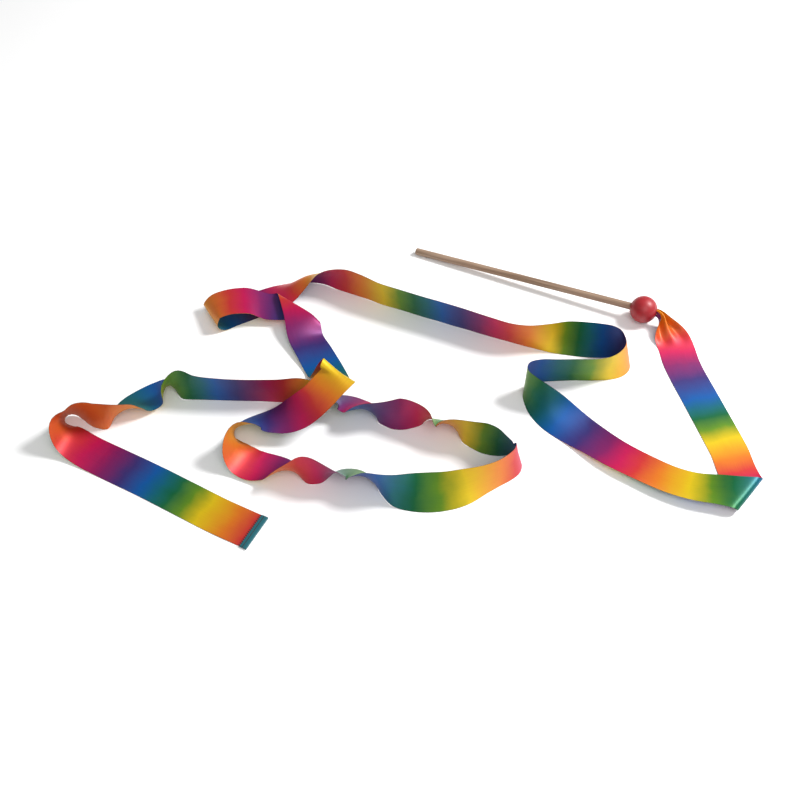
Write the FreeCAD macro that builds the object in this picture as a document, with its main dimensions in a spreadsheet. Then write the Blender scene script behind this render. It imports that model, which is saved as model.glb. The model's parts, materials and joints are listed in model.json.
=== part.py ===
import FreeCAD, Part
import math
import os
from FreeCAD import Vector

# Gymnastics ribbon wand lying on a floor: X right, Y away, Z up, millimetres.
# The laid ribbon follows stations chosen by hand.  A station is the middle of the
# cloth, the bearing and tilt of the line from the middle to the left edge, and the
# rise of the middle above that line (bow).

doc = FreeCAD.newDocument("RibbonWand")
sheet = doc.addObject("Spreadsheet::Sheet", "Sizes")

SIZES = [
    ("stick_radius", 4.0, "half the dowel's thickness"),
    ("stick_length", 268.0, "free end to the bottom of the socket"),
    ("stick_edge", 1.5, "rounding of the free end"),
    ("ball_radius", 15.0, "half the ball's width"),
    ("socket_depth", 12.0, "how far the dowel goes into the ball"),
    ("chamber_radius", 5.2, "room for the knot"),
    ("chamber_offset", 3.6, "chamber centre past the ball centre"),
    ("mouth_radius", 3.0, "hole the ribbon comes out of"),
    ("knot_radius", 4.0, "body of the knot"),
    ("strand_radius", 2.3, "gathered ribbon in the hole"),
    ("strand_length", 12.2, "knot centre to the ball's face"),
    ("ribbon_width", 40.0, "full width of the cloth"),
    ("ribbon_thickness", 0.6, "modelled thickness of the cloth"),
    ("hem_width", 8.0, "folded hem, along the ribbon"),
    ("hem_length", 41.0, "folded hem, across the ribbon"),
    ("hem_height", 2.2, "folded hem, layers together"),
    ("hem_wall", 0.7, "one layer of the hem"),
    ("fold_gap", 0.6, "cloth left out on each side of the tail's fold line"),
    ("thread_width", 0.6, "row of stitches"),
    ("thread_height", 0.3, "row of stitches"),
]
for row, (alias, value, note) in enumerate(SIZES, start=1):
    sheet.set("A%d" % row, alias)
    sheet.set("B%d" % row, str(value))
    sheet.set("C%d" % row, note)
    sheet.setAlias("B%d" % row, alias)
doc.recompute()


def size(alias):
    return float(sheet.get(alias))


def bind(obj, prop, formula):
    """Tie one size of an object to the spreadsheet; * marks an alias."""
    obj.setExpression(prop, formula.replace("*", "Sizes."))


# The frame's origin lies this far from the point the stations are measured from.
ORIGIN_X = 5.5
ORIGIN_Y = 21.5

BALL_CENTRE = (267.5, 118.0, 15.0)
STICK_END = (18.5, 225.0, 4.0)


def place(point):
    return Vector(point[0] - ORIGIN_X, point[1] - ORIGIN_Y, point[2])


ball_at = place(BALL_CENTRE)
AXIS = ball_at - place(STICK_END)
AXIS.normalize()
ALONG = FreeCAD.Rotation(Vector(0, 0, 1), AXIS)

nodes = []


def keep(obj, name):
    obj.Label = name
    nodes.append((name, obj))
    return obj


# ---------------------------------------------------------------- stick
stick = doc.addObject("PartDesign::Body", "StickBody")
dowel = stick.newObject("PartDesign::AdditiveCylinder", "Dowel")
bind(dowel, "Radius", "*stick_radius")
bind(dowel, "Height", "*stick_length")
doc.recompute()
rounded = stick.newObject("PartDesign::Fillet", "RoundedEnd")
low_edge = min(
    range(len(dowel.Shape.Edges)),
    key=lambda i: dowel.Shape.Edges[i].CenterOfMass.z,
)
rounded.Base = (dowel, ["Edge%d" % (low_edge + 1)])
bind(rounded, "Radius", "*stick_edge")
tenon = size("ball_radius") - size("socket_depth")
stick_foot = ball_at - AXIS * (tenon + size("stick_length"))
stick.Placement = FreeCAD.Placement(stick_foot, ALONG)
keep(stick, "stick")

# ---------------------------------------------------------------- ball
ball = doc.addObject("PartDesign::Body", "BallBody")
sphere = ball.newObject("PartDesign::AdditiveSphere", "Round")
bind(sphere, "Radius", "*ball_radius")
socket = ball.newObject("PartDesign::SubtractiveCylinder", "Socket")
bind(socket, "Radius", "*stick_radius")
bind(socket, "Height", "*socket_depth + 2")
socket.MapMode = "Deactivated"
socket.Placement = FreeCAD.Placement(Vector(0, 0, -size("ball_radius") - 2), FreeCAD.Rotation())
chamber = ball.newObject("PartDesign::SubtractiveSphere", "Chamber")
bind(chamber, "Radius", "*chamber_radius")
chamber.MapMode = "Deactivated"
chamber.Placement = FreeCAD.Placement(Vector(0, 0, size("chamber_offset")), FreeCAD.Rotation())
mouth = ball.newObject("PartDesign::SubtractiveCylinder", "Mouth")
bind(mouth, "Radius", "*mouth_radius")
bind(mouth, "Height", "*ball_radius")
mouth.MapMode = "Deactivated"
mouth.Placement = FreeCAD.Placement(Vector(0, 0, size("chamber_offset")), FreeCAD.Rotation())
ball.Placement = FreeCAD.Placement(ball_at, ALONG)
keep(ball, "ball")

# ---------------------------------------------------------------- knot
knot = doc.addObject("PartDesign::Body", "KnotBody")
lump = knot.newObject("PartDesign::AdditiveSphere", "Lump")
bind(lump, "Radius", "*knot_radius")
strand = knot.newObject("PartDesign::AdditiveCylinder", "Strand")
bind(strand, "Radius", "*strand_radius")
bind(strand, "Height", "*strand_length")
knot.Placement = FreeCAD.Placement(ball_at + AXIS * size("chamber_offset"), ALONG)
keep(knot, "knot")

# ---------------------------------------------------------------- ribbon
# name, stations (x, y, z, bearing, tilt, bow); a stretch ends where the next begins
STRETCHES = [
    ("ribbon_first_run", [
        (297, 84, 1.5, 8, 0, 0),
        (301.5, 50, 0.5, 12, 0, 0)]),
    ("ribbon_first_run_end", [
        (313.5, 0, 0.5, 14, 0, 0),
        (326, -50, 0.5, 14, 0, 0),
        (335, -88, 0.6, 16, 0, 0)]),
    ("ribbon_roll_1", [
        (340, -112, 1.5, 32, 0, 0),
        (343, -122, 6.5, 44, 0, 0),
        (337, -121, 12, 55, 0, 0)]),
    ("ribbon_second_run", [
        (316, -121, 9, 70, -5, 0),
        (292, -118, 6.5, 80, -9, 2),
        (266, -108, 4.5, 72, -9, 3),
        (241, -93, 3.5, 62, -7, 4)]),
    ("ribbon_second_run_end", [
        (216, -76, 3.5, 55, -4, 4),
        (194, -58, 4.5, 48, 2, 4),
        (175, -42, 6.5, 45, 14, 3)]),
    ("ribbon_rise", [
        (158.5, -28, 10.5, 42, 32, 2),
        (145, -16, 15.5, 32, 56, 1),
        (134, -3, 19, 18, 77, 0)]),
    ("ribbon_turn_1", [
        (129, 7, 20, 0, 88, 0),
        (132, 17, 20, 270, 88, 0),
        (143, 22, 20, 270, 86, 0)]),
    ("ribbon_third_run", [
        (160, 23.5, 19.8, 270, 83, 0),
        (180, 24, 19.8, 270, 82, 0),
        (200, 24, 19.8, 270, 82, 0)]),
    ("ribbon_turn_2", [
        (217, 26, 19.6, 220, 80, 0),
        (230, 31.5, 19.5, 195, 76, 0),
        (238.5, 40, 19.4, 188, 75, 0)]),
    ("ribbon_turn_2_back", [
        (241.7, 50, 19.4, 183, 75, 0),
        (238.5, 59, 19.3, 165, 74, 0),
        (229, 65, 19, 135, 70, 0)]),
    ("ribbon_fourth_run", [
        (214.5, 67.5, 18, 110, 64, 0),
        (198, 69.5, 17.8, 100, 63, 0),
        (179, 71, 18.6, 96, 69, 0),
        (160, 70, 19.8, 95, 84, 0)]),
    ("ribbon_fourth_run_mid", [
        (140, 72, 19.8, 265, 82, 0),
        (120, 77.5, 19.4, 262, 76, 0),
        (99, 86, 19.4, 255, 77, 0),
        (59.5, 103, 19.6, 250, 79, 0)]),
    ("ribbon_fourth_run_end", [
        (29, 115.5, 19.6, 247, 79, 0),
        (-2, 129, 19.6, 245, 79, 0),
        (-22, 137.5, 19.6, 245, 80, 0),
        (-41, 148.5, 19.8, 245, 83, 0)]),
    ("ribbon_twist_1", [
        (-60, 158, 19.8, 250, 84, 1),
        (-79, 164, 20, 258, 72, 5),
        (-92, 166.5, 17.5, 262, 56, 8)]),
    ("ribbon_twist_1_end", [
        (-104, 165.5, 14, 274, 40, 10),
        (-117, 161, 9.5, 292, 24, 8),
        (-130, 154, 5.2, 306, 10, 4)]),
    ("ribbon_fifth_run", [
        (-150, 145, 1.5, 302, 3, 0),
        (-172, 134, 0.6, 300, 0, 0),
        (-190, 124, 0.8, 299, 0, 0)]),
    ("ribbon_roll_2", [
        (-203, 115, 3, 298, 0, 0),
        (-208.5, 112, 11, 297, 0, 0),
        (-204, 116.5, 19, 290, 0, 0)]),
    ("ribbon_sixth_run", [
        (-191, 121, 22.5, 278, 1, 0),
        (-172, 126, 21, 270, 1, 0),
        (-151, 130.5, 15.5, 270, -3, 0)]),
    ("ribbon_roll_3", [
        (-136, 131, 10, 285, -6, 0),
        (-125, 124, 9, 310, -4, 0),
        (-119, 116, 13, 318, -8, 0),
        (-117, 109, 15, 338, -14, 0)]),
    ("ribbon_seventh_run", [
        (-110, 100, 9.5, 12, -15, 1),
        (-104, 87, 5.5, 21, -12, 1),
        (-94, 69, 3, 22, -7, 0)]),
    ("ribbon_climb", [
        (-85, 51, 1.4, 20, -2, 0),
        (-77, 34, 3, 8, 0, 0),
        (-71, 19, 16, -12, -2, 0),
        (-66, 7, 34, -32, 0, 0)]),
    ("ribbon_crest", [
        (-61.5, -1, 46, -48, 0, 0),
        (-63, -9, 48.5, -54, 0, 0),
        (-71, -17.5, 44.5, -53, 0, 0)]),
    ("ribbon_eighth_run", [
        (-86.5, -31.5, 36, -50, 1, 0),
        (-105.5, -37.5, 23, -48, 5, 0)]),
    ("ribbon_eighth_run_end", [
        (-126, -37.5, 14, -58, 15, 1),
        (-144, -38, 11, -63, 28, 1),
        (-156, -44, 14, -72, 44, 0)]),
    ("ribbon_turn_3", [
        (-165.5, -54.5, 18, 270, 50, 0),
        (-166, -66, 15, 247, 42, 0),
        (-162, -75.5, 9.5, 228, 25, 0)]),
    ("ribbon_turn_3_back", [
        (-155, -83, 5, 228, 8, 0),
        (-146, -89, 4, 238, 2, 1),
        (-134, -93, 5, 252, 8, 2),
        (-122, -98, 9.5, 266, 24, 2)]),
    ("ribbon_twist_2", [
        (-113, -103.5, 15.5, 273, 46, 0),
        (-105, -106.5, 19, 278, 66, 0),
        (-96, -107.5, 21, 90, 88, 0)]),
    ("ribbon_twist_2_mid", [
        (-84, -110, 23, 95, 88, 0),
        (-74, -112.5, 24, 285, 76, 0),
        (-65, -113, 23.5, 276, 58, 0)]),
    ("ribbon_twist_2_end", [
        (-50, -112, 21, 276, 36, 0),
        (-35, -118, 24, 273, 50, 0),
        (-22, -127, 26, 280, 74, 0)]),
    ("ribbon_ninth_run", [
        (-8, -132.5, 24.5, 86, 83, 0),
        (9, -132.5, 19.5, 86, 62, 0),
        (27.5, -131, 17, 86, 52, 0)]),
    ("ribbon_ninth_run_end", [
        (46.5, -129, 17, 82, 56, 0),
        (64, -125, 18.5, 79, 64, 0),
        (82, -118, 20, 84, 80, 0)]),
    ("ribbon_turn_4", [
        (98, -109.5, 20.5, 130, 86, 0),
        (108, -102.5, 20.8, 158, 83, 0),
        (115, -95, 20.5, 200, 74, 0)]),
    ("ribbon_turn_4_back", [
        (117, -86.5, 20, 235, 66, 0),
        (111, -79.5, 20, 275, 68, 0),
        (101, -75, 20, 323, 76, 0)]),
    ("ribbon_tenth_run", [
        (93.5, -71, 20, 10, 77, 0),
        (84.5, -67.6, 20, 45, 77, 0),
        (74.5, -64, 20.8, 27, 84, 0),
        (62, -59.5, 22.5, 290, 80, 0)]),
    ("ribbon_twist_3", [
        (52.5, -53, 22, 270, 60, 0),
        (44, -46.5, 18.5, 262, 38, 2),
        (35, -43, 19, 262, 44, 2),
        (26, -40, 22.5, 272, 72, 0)]),
    ("ribbon_eleventh_run", [
        (12, -38, 22, 88, 86, 0),
        (-1.5, -37.5, 21.5, 86, 76, 0),
        (-13.5, -38, 23.5, 350, 86, 0)]),
    ("ribbon_twist_4", [
        (-25, -37, 24.5, 278, 74, 0),
        (-36, -31, 21.5, 274, 50, 0),
        (-46, -22, 15, 268, 27, 0)]),
    ("ribbon_twist_4_end", [
        (-57, -14, 13.5, 266, 26, 0),
        (-68, -11, 17, 274, 46, 0),
        (-80, -7.5, 19.5, 290, 72, 0)]),
    ("ribbon_twelfth_run", [
        (-98, -4.5, 20, 300, 86, 0),
        (-125, -5, 20, 280, 84, 0),
        (-150, -4.5, 19.8, 280, 82, 0),
        (-186, -3, 19.8, 280, 83, 0)]),
    ("ribbon_twelfth_run_end", [
        (-211, -0.5, 20, 300, 86, 0),
        (-230, 4, 20, 70, 84, 0)]),
    ("ribbon_twist_5", [
        (-240, 4.5, 18.5, 300, 60, 0),
        (-247, 4, 11.5, 306, 28, 0),
        (-256, 0, 6.5, 308, 13, 0)]),
    ("ribbon_thirteenth_run", [
        (-266, -7, 6, 308, 10, 0),
        (-274, -15, 9, 306, 20, 0)]),
    ("ribbon_twist_6", [
        (-280.5, -25, 14, 302, 42, 0),
        (-286, -33.5, 18, 322, 64, 0)]),
    ("ribbon_fourteenth_run", [
        (-294, -39, 19.6, 0, 75, 0),
        (-307, -38.5, 19.6, 350, 70, 0),
        (-321, -34, 21, 320, 68, 0)]),
    ("ribbon_turn_5", [
        (-332, -32.5, 22, 294, 60, 0),
        (-339.5, -36, 21, 284, 50, 0),
        (-343, -43.5, 18.5, 261, 44, 0)]),
    ("ribbon_turn_5_back", [
        (-340, -51.5, 14.5, 243, 35, 0),
        (-334, -57.5, 9.5, 232, 20, 0),
        (-326, -62.5, 5.5, 232, 10, 0),
        (-312, -70, 2, 238, 3, 0)]),
    ("ribbon_tail", [
        (-290, -81.5, 0.8, 241, 0, 0),
        (-250, -103, 0.6, 241, 0, 0),
        (-210, -126, 0.6, 241, 0, 0)]),
    ("ribbon_tail_end", [
        (-170, -149, 0.6, 240, 0, 0),
        (-153, -158, 0.9, 237, 0, 0),
        (-135.5, -167, 1.1, 233, 0, 0)]),
]

# The gathered neck: the same numbers, with the width of the cloth in place of the bow.
NECK = [
    (282.0, 111.8, 15.4, 64, 0, 5),
    (286.5, 108.5, 13.6, 48, 0, 8),
    (289.5, 101.5, 9.0, 28, 0, 22),
    (293.0, 93.0, 4.2, 14, 0, 35),
    (297, 84, 1.5, 8, 0, 40),
]


def direction(bearing, tilt):
    b = math.radians(bearing)
    t = math.radians(tilt)
    return Vector(math.cos(t) * math.cos(b), math.cos(t) * math.sin(b), math.sin(t))


def tangents(points, knots):
    """Slope at every station, weighted by the spacing of its neighbours."""
    out = []
    last = len(points) - 1
    for i in range(len(points)):
        if i == 0:
            out.append((points[1] - points[0]) * (1 / (knots[1] - knots[0])))
        elif i == last:
            out.append((points[i] - points[i - 1]) * (1 / (knots[i] - knots[i - 1])))
        else:
            a = knots[i] - knots[i - 1]
            b = knots[i + 1] - knots[i]
            before = (points[i] - points[i - 1]) * (1 / a)
            after = (points[i + 1] - points[i]) * (1 / b)
            out.append((before * b + after * a) * (1 / (a + b)))
    return out


def between(points, slopes, knots, i, f):
    """Smooth curve through the stations, at fraction f past station i."""
    h = knots[i + 1] - knots[i]
    a = points[i] * (2 * f ** 3 - 3 * f ** 2 + 1)
    b = slopes[i] * ((f ** 3 - 2 * f ** 2 + f) * h)
    c = points[i + 1] * (3 * f ** 2 - 2 * f ** 3)
    d = slopes[i + 1] * ((f ** 3 - f ** 2) * h)
    return a + b + c + d


def sections(stations, step, fixed_width=None):
    """Middle, side, normal, bow and width every few millimetres, by station gap."""
    mids = [place(s[:3]) for s in stations]
    sides = [direction(s[3], s[4]) for s in stations]
    extra = [Vector(s[5], 0, 0) for s in stations]
    knots = [0.0]
    for one, two in zip(mids, mids[1:]):
        knots.append(knots[-1] + (two - one).Length)
    mid_slopes = tangents(mids, knots)
    side_slopes = tangents(sides, knots)
    extra_slopes = tangents(extra, knots)
    gaps = []
    for i in range(len(mids) - 1):
        count = max(1, round((knots[i + 1] - knots[i]) / step))
        row = []
        for k in range(count + 1):
            f = k / count
            near = min(1.0, f + 0.01)
            far = near - 0.02
            mid = between(mids, mid_slopes, knots, i, f)
            ahead = between(mids, mid_slopes, knots, i, near)
            ahead = ahead - between(mids, mid_slopes, knots, i, far)
            ahead.normalize()
            side = between(sides, side_slopes, knots, i, f)
            side = side - ahead * (side.dot(ahead) * 0.9)
            side.normalize()
            value = between(extra, extra_slopes, knots, i, f).x
            normal = ahead.cross(side)
            normal.normalize()
            if fixed_width is None:
                row.append((mid, side, normal, 0.0, value))
            else:
                row.append((mid, side, normal, value, fixed_width))
        gaps.append(row)
    for i in range(1, len(gaps)):
        gaps[i][0] = gaps[i - 1][-1]
    return gaps


THICK = size("ribbon_thickness")


def outline(section):
    """Closed six-sided wire across the cloth; the cloth never dips under the floor."""
    mid, side, normal, bow, width = section
    half = width / 2 * (1 - (8 / 3) * (bow / width) ** 2)
    rise = normal * (THICK / 2)
    left = mid + side * half - normal * (bow / 2)
    right = mid - side * half - normal * (bow / 2)
    crown = mid + normal * (bow / 2)
    ring = [left + rise, crown + rise, right + rise, right - rise, crown - rise, left - rise]
    lowest = min(p.z for p in ring)
    lift = Vector(0, 0, max(0.0, -lowest))
    return [p + lift for p in ring]


# The lower face is cut into triangles the same way as the upper, so they stay parallel.
LOWER_SIDE = (3, 4)


def strip(rings):
    """Solid through closed six-sided rings: three-cornered faces, so it always closes."""
    faces = []

    def face(a, b, c):
        if (b - a).cross(c - a).Length > 1e-6:
            faces.append(Part.Face(Part.makePolygon([a, b, c, a])))

    for one, two in zip(rings, rings[1:]):
        for i in range(6):
            j = (i + 1) % 6
            if i in LOWER_SIDE:
                face(one[i], one[j], two[i])
                face(one[j], two[j], two[i])
            else:
                face(one[i], one[j], two[j])
                face(one[i], two[j], two[i])
    for ring, flip in ((rings[0], True), (rings[-1], False)):
        a, b, c, d, e, f = ring
        for tri in ((a, b, e), (a, e, f), (b, c, d), (b, d, e)):
            face(*(reversed(tri) if flip else tri))
    solid = Part.makeSolid(Part.makeShell(faces))
    if solid.Volume < 0:
        solid.reverse()
    return solid


def cloth(name, rings):
    obj = doc.addObject("Part::Feature", name)
    obj.Shape = strip(rings)
    keep(obj, name)


neck_gaps = sections(NECK, 2.5)
neck_rings = []
for row in neck_gaps:
    neck_rings.extend(outline(s) for s in row[(1 if neck_rings else 0):])

every = [s for _, group in STRETCHES for s in group]
gaps = sections(every, 5.0, size("ribbon_width"))
first = 0
runs = []
for name, group in STRETCHES:
    last = min(first + len(group), len(every) - 1)
    rings = []
    for i in range(first, last):
        rings.extend(outline(s) for s in gaps[i][(1 if rings else 0):])
    runs.append((name, rings))
    first = last
neck_rings[-1] = runs[0][1][0]


def middle_of(ring):
    return sum(ring, Vector()) * (1 / len(ring))


def shorten(rings, at, towards):
    """Draw one end of a stretch back along the cloth by the fold's gap."""
    step = middle_of(rings[towards]) - middle_of(rings[at])
    step.normalize()
    rings[at] = [p + step * size("fold_gap") for p in rings[at]]


# The tail lifts about a line across the cloth, so its stretch starts just past it.
for before, after in zip(runs, runs[1:]):
    if after[0] == "ribbon_tail":
        shorten(before[1], -1, -2)
        shorten(after[1], 0, 1)

cloth("ribbon_neck", neck_rings)
for name, rings in runs:
    cloth(name, rings)

# ---------------------------------------------------------------- hem
end = place(every[-1][:3])
before_end = place(every[-2][:3])
heading = Vector(end.x - before_end.x, end.y - before_end.y, 0)
heading.normalize()
across = Vector(0, 0, 1).cross(heading)
turn = FreeCAD.Rotation(heading, across, Vector(0, 0, 1), "ZXY")


def along_hem(a, b, c):
    """A point at a along the ribbon past the hem's inner edge, b to the left, c up."""
    start = end - heading * (size("hem_width") - size("hem_wall"))
    return Vector(start.x, start.y, 0) + heading * a + across * b + Vector(0, 0, c)


outer = doc.addObject("Part::Box", "HemOuter")
bind(outer, "Length", "*hem_width")
bind(outer, "Width", "*hem_length")
bind(outer, "Height", "*hem_height")
outer.Placement = FreeCAD.Placement(along_hem(0, -size("hem_length") / 2, 0), turn)
slot = doc.addObject("Part::Box", "HemSlot")
bind(slot, "Length", "*hem_width - *hem_wall + 1")
bind(slot, "Width", "*hem_length + 2")
bind(slot, "Height", "*hem_height - *hem_wall - *hem_wall")
slot.Placement = FreeCAD.Placement(
    along_hem(-1, -size("hem_length") / 2 - 1, size("hem_wall")), turn
)
hem = doc.addObject("Part::Cut", "HemCut")
hem.Base = outer
hem.Tool = slot
keep(hem, "hem_fold")
for name, a in (("hem_thread_inner", 1.2), ("hem_thread_outer", 3.6)):
    thread = doc.addObject("Part::Box", name)
    bind(thread, "Length", "*thread_width")
    bind(thread, "Width", "*hem_length - 3")
    bind(thread, "Height", "*thread_height")
    corner = along_hem(a, 1.5 - size("hem_length") / 2, size("hem_height"))
    thread.Placement = FreeCAD.Placement(corner, turn)
    keep(thread, name)

doc.recompute()

# ---------------------------------------------------------------- checks and export
for obj in doc.Objects:
    if "Invalid" in obj.State or "Error" in obj.State:
        raise RuntimeError("object not built: %s %s" % (obj.Name, obj.State))
for name, obj in nodes:
    shape = obj.Shape
    if shape.isNull() or not shape.isValid():
        raise RuntimeError("bad shape: " + name)
    if shape.Volume <= 0:
        raise RuntimeError("no volume: " + name)

os.makedirs("parts", exist_ok=True)
low = [1e9, 1e9, 1e9]
high = [-1e9, -1e9, -1e9]
for name, obj in nodes:
    shape = obj.Shape
    box = shape.BoundBox
    for i, (a, b) in enumerate(((box.XMin, box.XMax), (box.YMin, box.YMax), (box.ZMin, box.ZMax))):
        low[i] = min(low[i], a)
        high[i] = max(high[i], b)
    shape.exportStep("parts/%s.step" % name)
print(len(nodes), "nodes")
print("low ", [round(v, 2) for v in low])
print("high", [round(v, 2) for v in high])
print("middle", [round((a + b) / 2, 2) for a, b in zip(low, high)])
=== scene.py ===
# %% [markdown]
# # A gymnastics ribbon wand on a floor
# The wand is a wooden dowel with a lacquered ball on its end, and a long satin ribbon
# knotted inside the ball.  The frame that is loaded here already holds the dowel, the
# ball and plain strips where the ribbon lies.  This lesson gives them their looks.

# %% Load the frame
import json
import math

import bmesh
import bpy
import numpy as np
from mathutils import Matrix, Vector


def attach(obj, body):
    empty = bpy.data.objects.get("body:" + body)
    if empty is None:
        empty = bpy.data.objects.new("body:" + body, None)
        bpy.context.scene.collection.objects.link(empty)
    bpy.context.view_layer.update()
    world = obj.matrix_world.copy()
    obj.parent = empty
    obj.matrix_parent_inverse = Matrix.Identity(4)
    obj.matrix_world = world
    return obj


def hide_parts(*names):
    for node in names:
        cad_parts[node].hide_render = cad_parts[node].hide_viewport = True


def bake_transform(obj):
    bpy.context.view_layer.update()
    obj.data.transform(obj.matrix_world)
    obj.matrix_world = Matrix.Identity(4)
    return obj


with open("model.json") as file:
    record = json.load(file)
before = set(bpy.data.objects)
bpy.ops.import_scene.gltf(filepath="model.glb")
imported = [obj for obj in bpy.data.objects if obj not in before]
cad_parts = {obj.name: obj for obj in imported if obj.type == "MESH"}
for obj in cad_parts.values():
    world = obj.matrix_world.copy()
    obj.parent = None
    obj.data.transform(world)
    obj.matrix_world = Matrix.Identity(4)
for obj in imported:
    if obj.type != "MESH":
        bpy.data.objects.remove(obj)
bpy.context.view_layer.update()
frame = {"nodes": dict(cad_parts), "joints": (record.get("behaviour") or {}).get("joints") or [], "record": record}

MM = 0.001
scene = bpy.context.scene

# %% [markdown]
# The camera looks down on the floor at about fifty degrees from 1.2 m away.  It aims at
# the middle of the laid ribbon.  The plain view transform keeps the strong dye colours,
# which a filmic one would wash out.

# %% Camera
ORIGIN = np.array([5.5, 21.5, 0.0])
LOOK_DOWN = math.radians(49.5)
REACH = 1.1979
aim = -Vector(ORIGIN) * MM
camera_data = bpy.data.cameras.new("camera")
camera_data.lens = 51.75
camera_data.sensor_width = 36.0
camera = bpy.data.objects.new("camera", camera_data)
camera.rotation_euler = (math.pi / 2 - LOOK_DOWN, 0, 0)
camera.location = aim + REACH * Vector((0, -math.cos(LOOK_DOWN), math.sin(LOOK_DOWN)))
scene.collection.objects.link(camera)
scene.camera = camera
scene.view_settings.view_transform = "Standard"
print("camera at", [round(v, 3) for v in camera.location])


# %% [markdown]
# A material is a small graph of nodes.  Written out node by node it is hard to read, so
# one class wraps a node's output and lets sums be written as sums, and another holds a
# material with its shader.  Every finish below is then a few lines of plain arithmetic.

# %% Shader helpers
class Sock:
    """A node output that can be used in sums, as in (a + b) * 2."""

    def __init__(self, tree, socket):
        self.tree = tree
        self.socket = socket

    def _math(self, operation, *values):
        node = self.tree.nodes.new("ShaderNodeMath")
        node.operation = operation
        for slot, value in zip(node.inputs, values):
            plug(self.tree, value, slot)
        return Sock(self.tree, node.outputs[0])

    def __add__(self, other):
        return self._math("ADD", self, other)

    def __radd__(self, other):
        return self._math("ADD", other, self)

    def __sub__(self, other):
        return self._math("SUBTRACT", self, other)

    def __rsub__(self, other):
        return self._math("SUBTRACT", other, self)

    def __mul__(self, other):
        return self._math("MULTIPLY", self, other)

    def __rmul__(self, other):
        return self._math("MULTIPLY", other, self)

    def __truediv__(self, other):
        return self._math("DIVIDE", self, other)

    def fract(self):
        return self._math("FRACT", self)

    def sine(self):
        return self._math("SINE", self)

    def absolute(self):
        return self._math("ABSOLUTE", self)

    def above(self, edge):
        return self._math("GREATER_THAN", self, edge)

    def clamp(self):
        return self._math("MINIMUM", self._math("MAXIMUM", self, 0.0), 1.0)


def plug(tree, value, socket):
    if isinstance(value, Sock):
        tree.links.new(value.socket, socket)
    else:
        socket.default_value = value


class Finish:
    """One material: its node tree, its shader, and short ways to add nodes."""

    def __init__(self, name, **fixed):
        self.material = bpy.data.materials.new(name)
        self.material.use_nodes = True
        self.tree = self.material.node_tree
        self.shader = self.tree.nodes["Principled BSDF"]
        for label, value in fixed.items():
            self.shader.inputs[label.replace("_", " ")].default_value = value

    def node(self, kind, inputs=None, output=0, **settings):
        node = self.tree.nodes.new(kind)
        for name, value in settings.items():
            setattr(node, name, value)
        for name, value in (inputs or {}).items():
            plug(self.tree, value, node.inputs[name])
        return Sock(self.tree, node.outputs[output])

    def set(self, label, value):
        plug(self.tree, value, self.shader.inputs[label])

    def attribute(self, name):
        return self.node("ShaderNodeAttribute", attribute_name=name, output=2)

    def mix(self, factor, one, two, blend="MIX"):
        node = self.tree.nodes.new("ShaderNodeMix")
        node.data_type = "RGBA"
        node.blend_type = blend
        plug(self.tree, factor, node.inputs[0])
        plug(self.tree, one, node.inputs[6])
        plug(self.tree, two, node.inputs[7])
        return Sock(self.tree, node.outputs[2])

    def ramp(self, factor, stops):
        node = self.tree.nodes.new("ShaderNodeValToRGB")
        plug(self.tree, factor, node.inputs[0])
        elements = node.color_ramp.elements
        while len(elements) < len(stops):
            elements.new(0.5)
        for element, (at, colour) in zip(elements, stops):
            element.position = at
            element.color = colour
        return Sock(self.tree, node.outputs[0])

    def bump(self, height, strength, distance):
        normal = self.node(
            "ShaderNodeBump",
            {"Height": height, "Strength": strength, "Distance": distance},
        )
        self.set("Normal", normal)


def shade(red, green, blue):
    """A colour given as it looks on a screen, 0 to 255, as linear light."""
    out = []
    for part in (red, green, blue):
        c = part / 255
        out.append(c / 12.92 if c <= 0.04045 else ((c + 0.055) / 1.055) ** 2.4)
    return (*out, 1.0)


print("helpers ready")

# %% [markdown]
# Satin shows its folds only where light slides across it.  A soft lamp from the right
# gives each fold a bright side and a shadow, a wide weak one in front opens the shadows,
# and a pale world fills in the rest.  The floor is a plain matt white sheet.

# %% Floor and lights
floor_finish = Finish("floor", Roughness=0.9, Base_Color=shade(252, 252, 252))
floor_grain = floor_finish.node("ShaderNodeTexNoise", {"Scale": 40.0})
floor_finish.bump(floor_grain, 0.02, 0.001)
FLOOR_SIZE = 12
FLOOR_DROP = 0.00002
bpy.ops.mesh.primitive_plane_add(size=FLOOR_SIZE, location=(0, 0, -FLOOR_DROP))
floor = bpy.context.object
floor.name = "floor"
floor.data.materials.append(floor_finish.material)


def lamp(name, place, aim_at, size, watts):
    data = bpy.data.lights.new(name, "AREA")
    data.shape = "DISK"
    data.size = size
    data.energy = watts
    obj = bpy.data.objects.new(name, data)
    obj.location = place
    obj.rotation_euler = (Vector(aim_at) - Vector(place)).to_track_quat("-Z", "Y").to_euler()
    scene.collection.objects.link(obj)
    return obj


lamp("key", (1.35, 0.4, 1.35), (0, 0, 0), 0.6, 50)
lamp("fill", (0.3, -1.3, 1.6), (0, 0, 0), 1.5, 16)
world = bpy.data.worlds.new("pale room")
world.use_nodes = True
world.node_tree.nodes["Background"].inputs[0].default_value = (1, 1, 1, 1)
world.node_tree.nodes["Background"].inputs[1].default_value = 0.4
scene.world = world

# %% [markdown]
# The ribbon is one long strip of satin, 40 mm wide.  It lies on the floor in runs,
# stands on its edge where it turns, and rolls over itself.  Each station gives the
# middle of the cloth in millimetres, the bearing and tilt of the line from the middle
# to the left edge, and how far the middle rises above that line (bow).

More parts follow.
